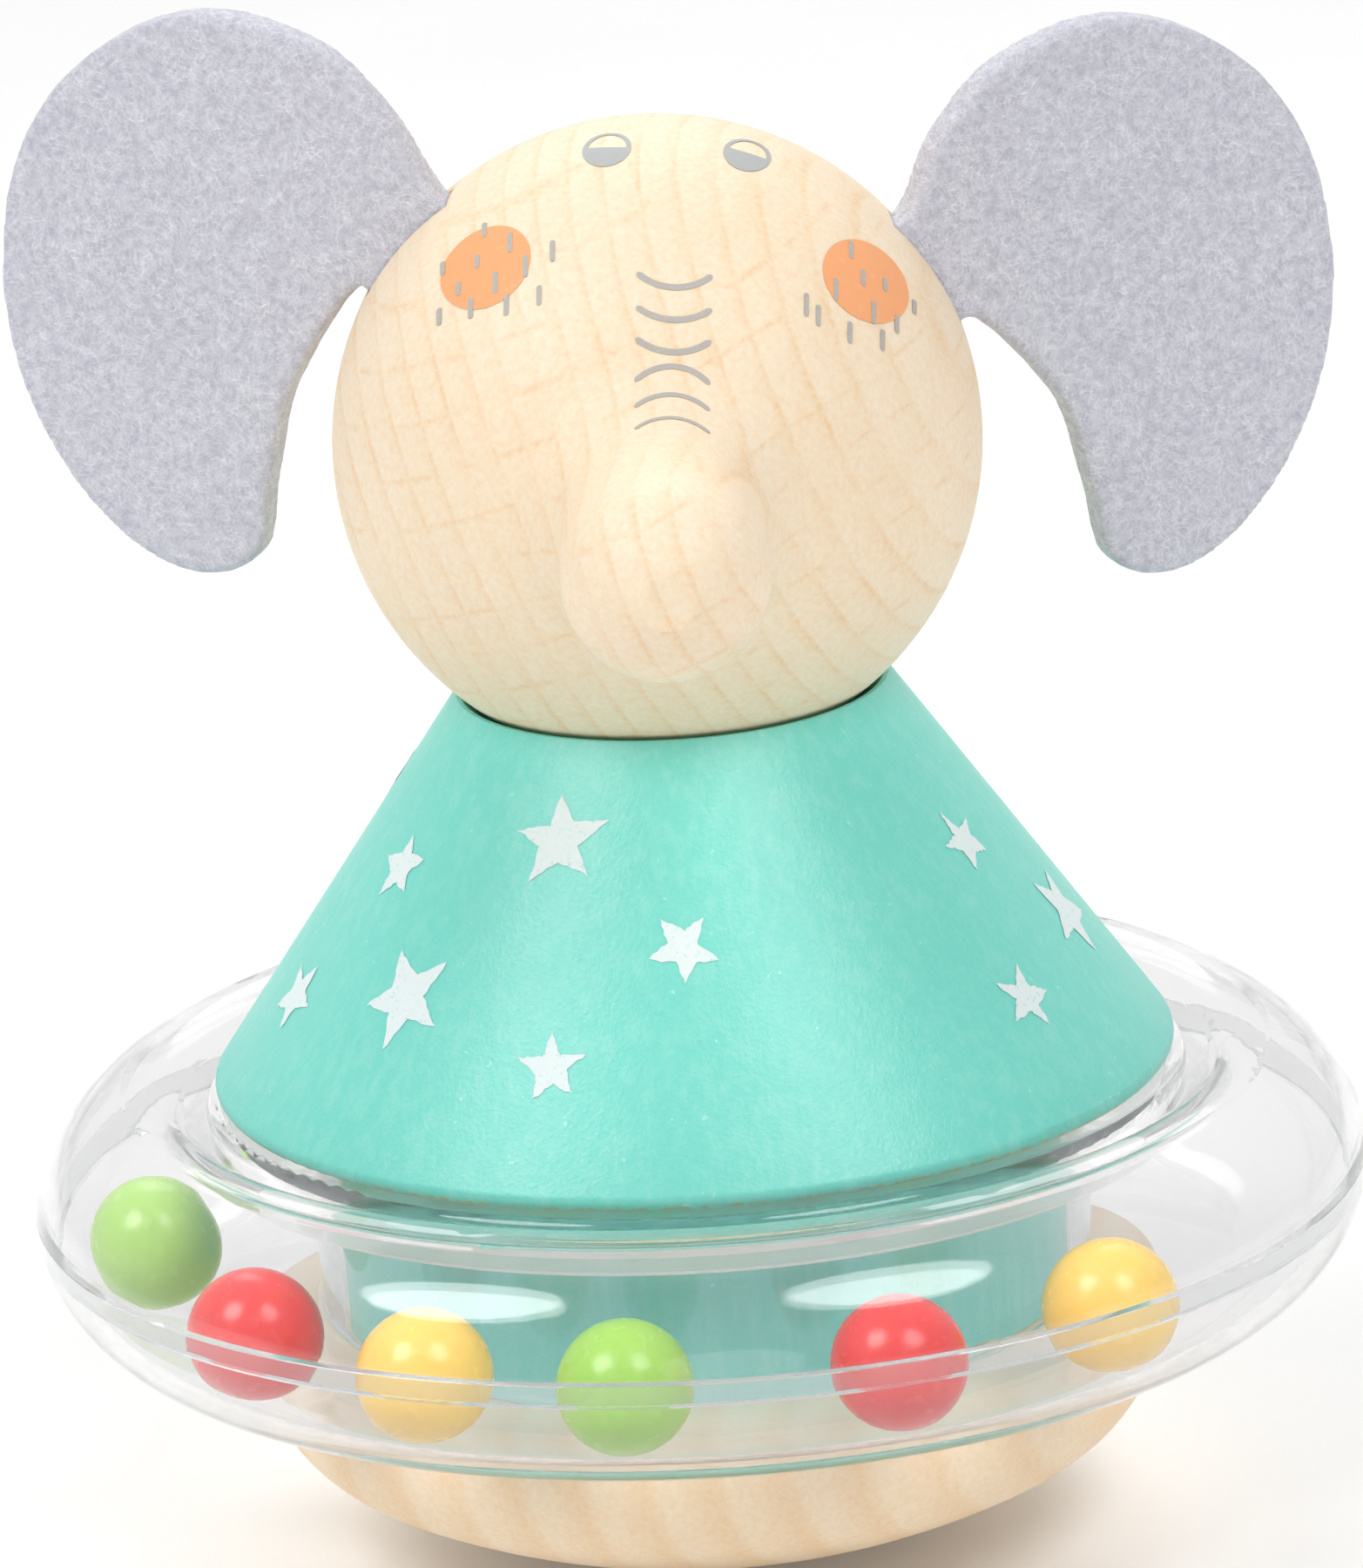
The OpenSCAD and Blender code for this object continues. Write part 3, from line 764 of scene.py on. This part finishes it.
fibres, takes, gives = start_group(
    "felt_fibres",
    [("Vector", "Vector", None), ("Deep", "Color", (0.4, 0.4, 0.46, 1)),
     ("Fibre", "Color", (0.7, 0.7, 0.76, 1))],
    [("Color", "Color"), ("Height", "Float")],
)
solid = takes["Vector"]
mat = 0.0
for count, way in enumerate(fibre_ways):
    lying = add_node(fibres, "Mapping", {
        "Vector": solid, "Rotation": (0, math.radians(way), 0), "Location": fibre_shift * count,
    }).outputs["Vector"]
    strand = wave_of(fibres, lying, wave_unit / fibre_pitch, "SIN", fibre_bend, 1.5, 0.8, 0.5)
    strand = spread_out(fibres, strand, 0.8, 1.0)
    lengths = noise_of(fibres, lying, length_grain + length_step * count, 2)
    strand = math_of(fibres, "MULTIPLY", strand, spread_out(fibres, lengths, 0.42, 0.62))
    mat = math_of(fibres, "ADD", mat, strand)
mat = math_of(fibres, "MULTIPLY", mat, fibre_weight)
hollows = noise_of(fibres, solid, hollow_grain, 3, 0.6)
shade = math_of(fibres, "ADD", mat, spread_out(fibres, hollows, 0.3, 0.7, -0.05, 0.45))
fibres.links.new(mix_colours(fibres, shade, takes["Deep"], takes["Fibre"]), gives["Color"])
fibres.links.new(shade, gives["Height"])
print("group:", fibres.name, len(fibres.nodes), "nodes")

# %% Felt finish
felt_deep, felt_pale = (0.47, 0.47, 0.545, 1), (0.86, 0.86, 0.92, 1)
felt_depth = 0.08 * mm
felt, tree, shader = start_material("ear_felt", Roughness=0.95, Sheen_Weight=0.25, Sheen_Roughness=0.5)
surface = place_group(tree, fibres, {"Vector": object_vector(tree), "Deep": felt_deep, "Fibre": felt_pale})
wire(tree, surface["Color"], shader, "Base Color")
bump(tree, shader, surface["Height"], felt_depth)
print("felt:", len(fibre_ways), "layers of fibre")

# %% [markdown]
# ## Ears
# Both ears are die-cut from 3 mm felt with one knife, and glued by a tab into a slot in the head. A flat
# cut-out with a Solidify modifier looks like card. Here the cut-out is thickened, its edges eased, and
# the solid is remeshed into small even cells, so that the felt can lie a little uneven and soft at the cut.

# %% Cut the ears
ear_w, ear_h, ear_t, ear_root = 34, 43, 3, 9.4
ear_tab, ear_back, ear_sweep = 5.8, 1, 20
ear_rises = {"left_ear": 42.5, "right_ear": 29.5}
# Outline from the top of the root round to the bottom, in shares of the width and height
ear_shares = [
    (0.02, 0.22), (0.17, 0.335), (0.43, 0.39), (0.68, 0.32), (0.86, 0.16), (0.93, -0.07),
    (0.89, -0.30), (0.74, -0.50), (0.55, -0.60), (0.38, -0.57), (0.335, -0.43), (0.27, -0.26),
]
ear_steps = 6
ear_ease, ear_ease_steps = 0.4 * mm, 3
felt_cell = 0.4 * mm
# Noise scale, per metre, and height of the small and of the broad unevenness
felt_lumps = [(900, 0.05 * mm), (160, 0.12 * mm)]


def between(a, b, c, d, t):
    """A point on the smooth curve from b to c."""
    return b + (t / 2) * (c - a + t * (2 * a - 5 * b + 4 * c - d + t * (3 * b - a - 3 * c + d)))


def ear_outline(rise):
    out = Vector((math.cos(rise), math.sin(rise), 0))
    side = Vector((-math.sin(rise), math.cos(rise), 0)) * ear_root / 2
    bend = [Vector((x * ear_w, y * ear_h, 0)) for x, y in ear_shares]
    points = [side - out * ear_tab, side, *bend, -side, -side - out * ear_tab]
    fours = [points[i - 1:i + 3] for i in range(1, len(points) - 2)]
    curve = [between(*four, k / ear_steps) for four in fours for k in range(ear_steps)]
    return [points[0], *curve, *points[-2:]]


def to_slot(name, rise):
    hand = -1 if name == "left_ear" else 1
    place = head_middle + Vector((head_r * math.cos(rise), ear_back * mm, head_r * math.sin(rise)))
    stand = Matrix.Rotation(math.radians(ear_sweep), 4, "Z") @ Matrix.Rotation(math.pi / 2, 4, "X")
    return Matrix.Diagonal((hand, 1, 1, 1)) @ Matrix.Translation(place) @ stand


def cut_ear(name, rise):
    bm = bmesh.new()
    outline = [bm.verts.new(p * mm) for p in ear_outline(rise)]
    sheet = bm.faces.new(outline)
    grown = bmesh.ops.extrude_face_region(bm, geom=[sheet])["geom"]
    top = [v for v in grown if isinstance(v, bmesh.types.BMVert)]
    bmesh.ops.translate(bm, vec=(0, 0, ear_t * mm), verts=top)
    bmesh.ops.translate(bm, vec=(0, 0, -ear_t / 2 * mm), verts=bm.verts)
    bmesh.ops.recalc_face_normals(bm, faces=bm.faces)
    rim = [e for e in bm.edges if abs(e.verts[0].co.z - e.verts[1].co.z) < tiny]
    bmesh.ops.bevel(
        bm, geom=rim, offset=ear_ease, affect="EDGES", segments=ear_ease_steps, profile=0.5, material=-1)
    ear = finish_piece(name + "_felt", bm, "toy", [felt])
    cells = ear.modifiers.new("cells", "REMESH")
    cells.mode, cells.voxel_size, cells.use_smooth_shade = "VOXEL", felt_cell, True
    fine = bpy.data.meshes.new_from_object(ear.evaluated_get(bpy.context.evaluated_depsgraph_get()))
    ear.modifiers.clear()
    ear.data = fine
    soft = bmesh.new()
    soft.from_mesh(fine)
    bmesh.ops.smooth_vert(
        soft, verts=soft.verts, factor=0.5, use_axis_x=True, use_axis_y=True, use_axis_z=True)
    soft.normal_update()
    for v in soft.verts:
        v.co += v.normal * sum(noise.noise(v.co * scale) * height for scale, height in felt_lumps)
    bmesh.ops.transform(soft, matrix=to_slot(name, rise), verts=soft.verts)
    bmesh.ops.recalc_face_normals(soft, faces=soft.faces)
    soft.to_mesh(fine)
    soft.free()
    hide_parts(name)
    print("ear:", name, len(fine.polygons), "faces")


for name, rise in ear_rises.items():
    cut_ear(name, math.radians(rise))
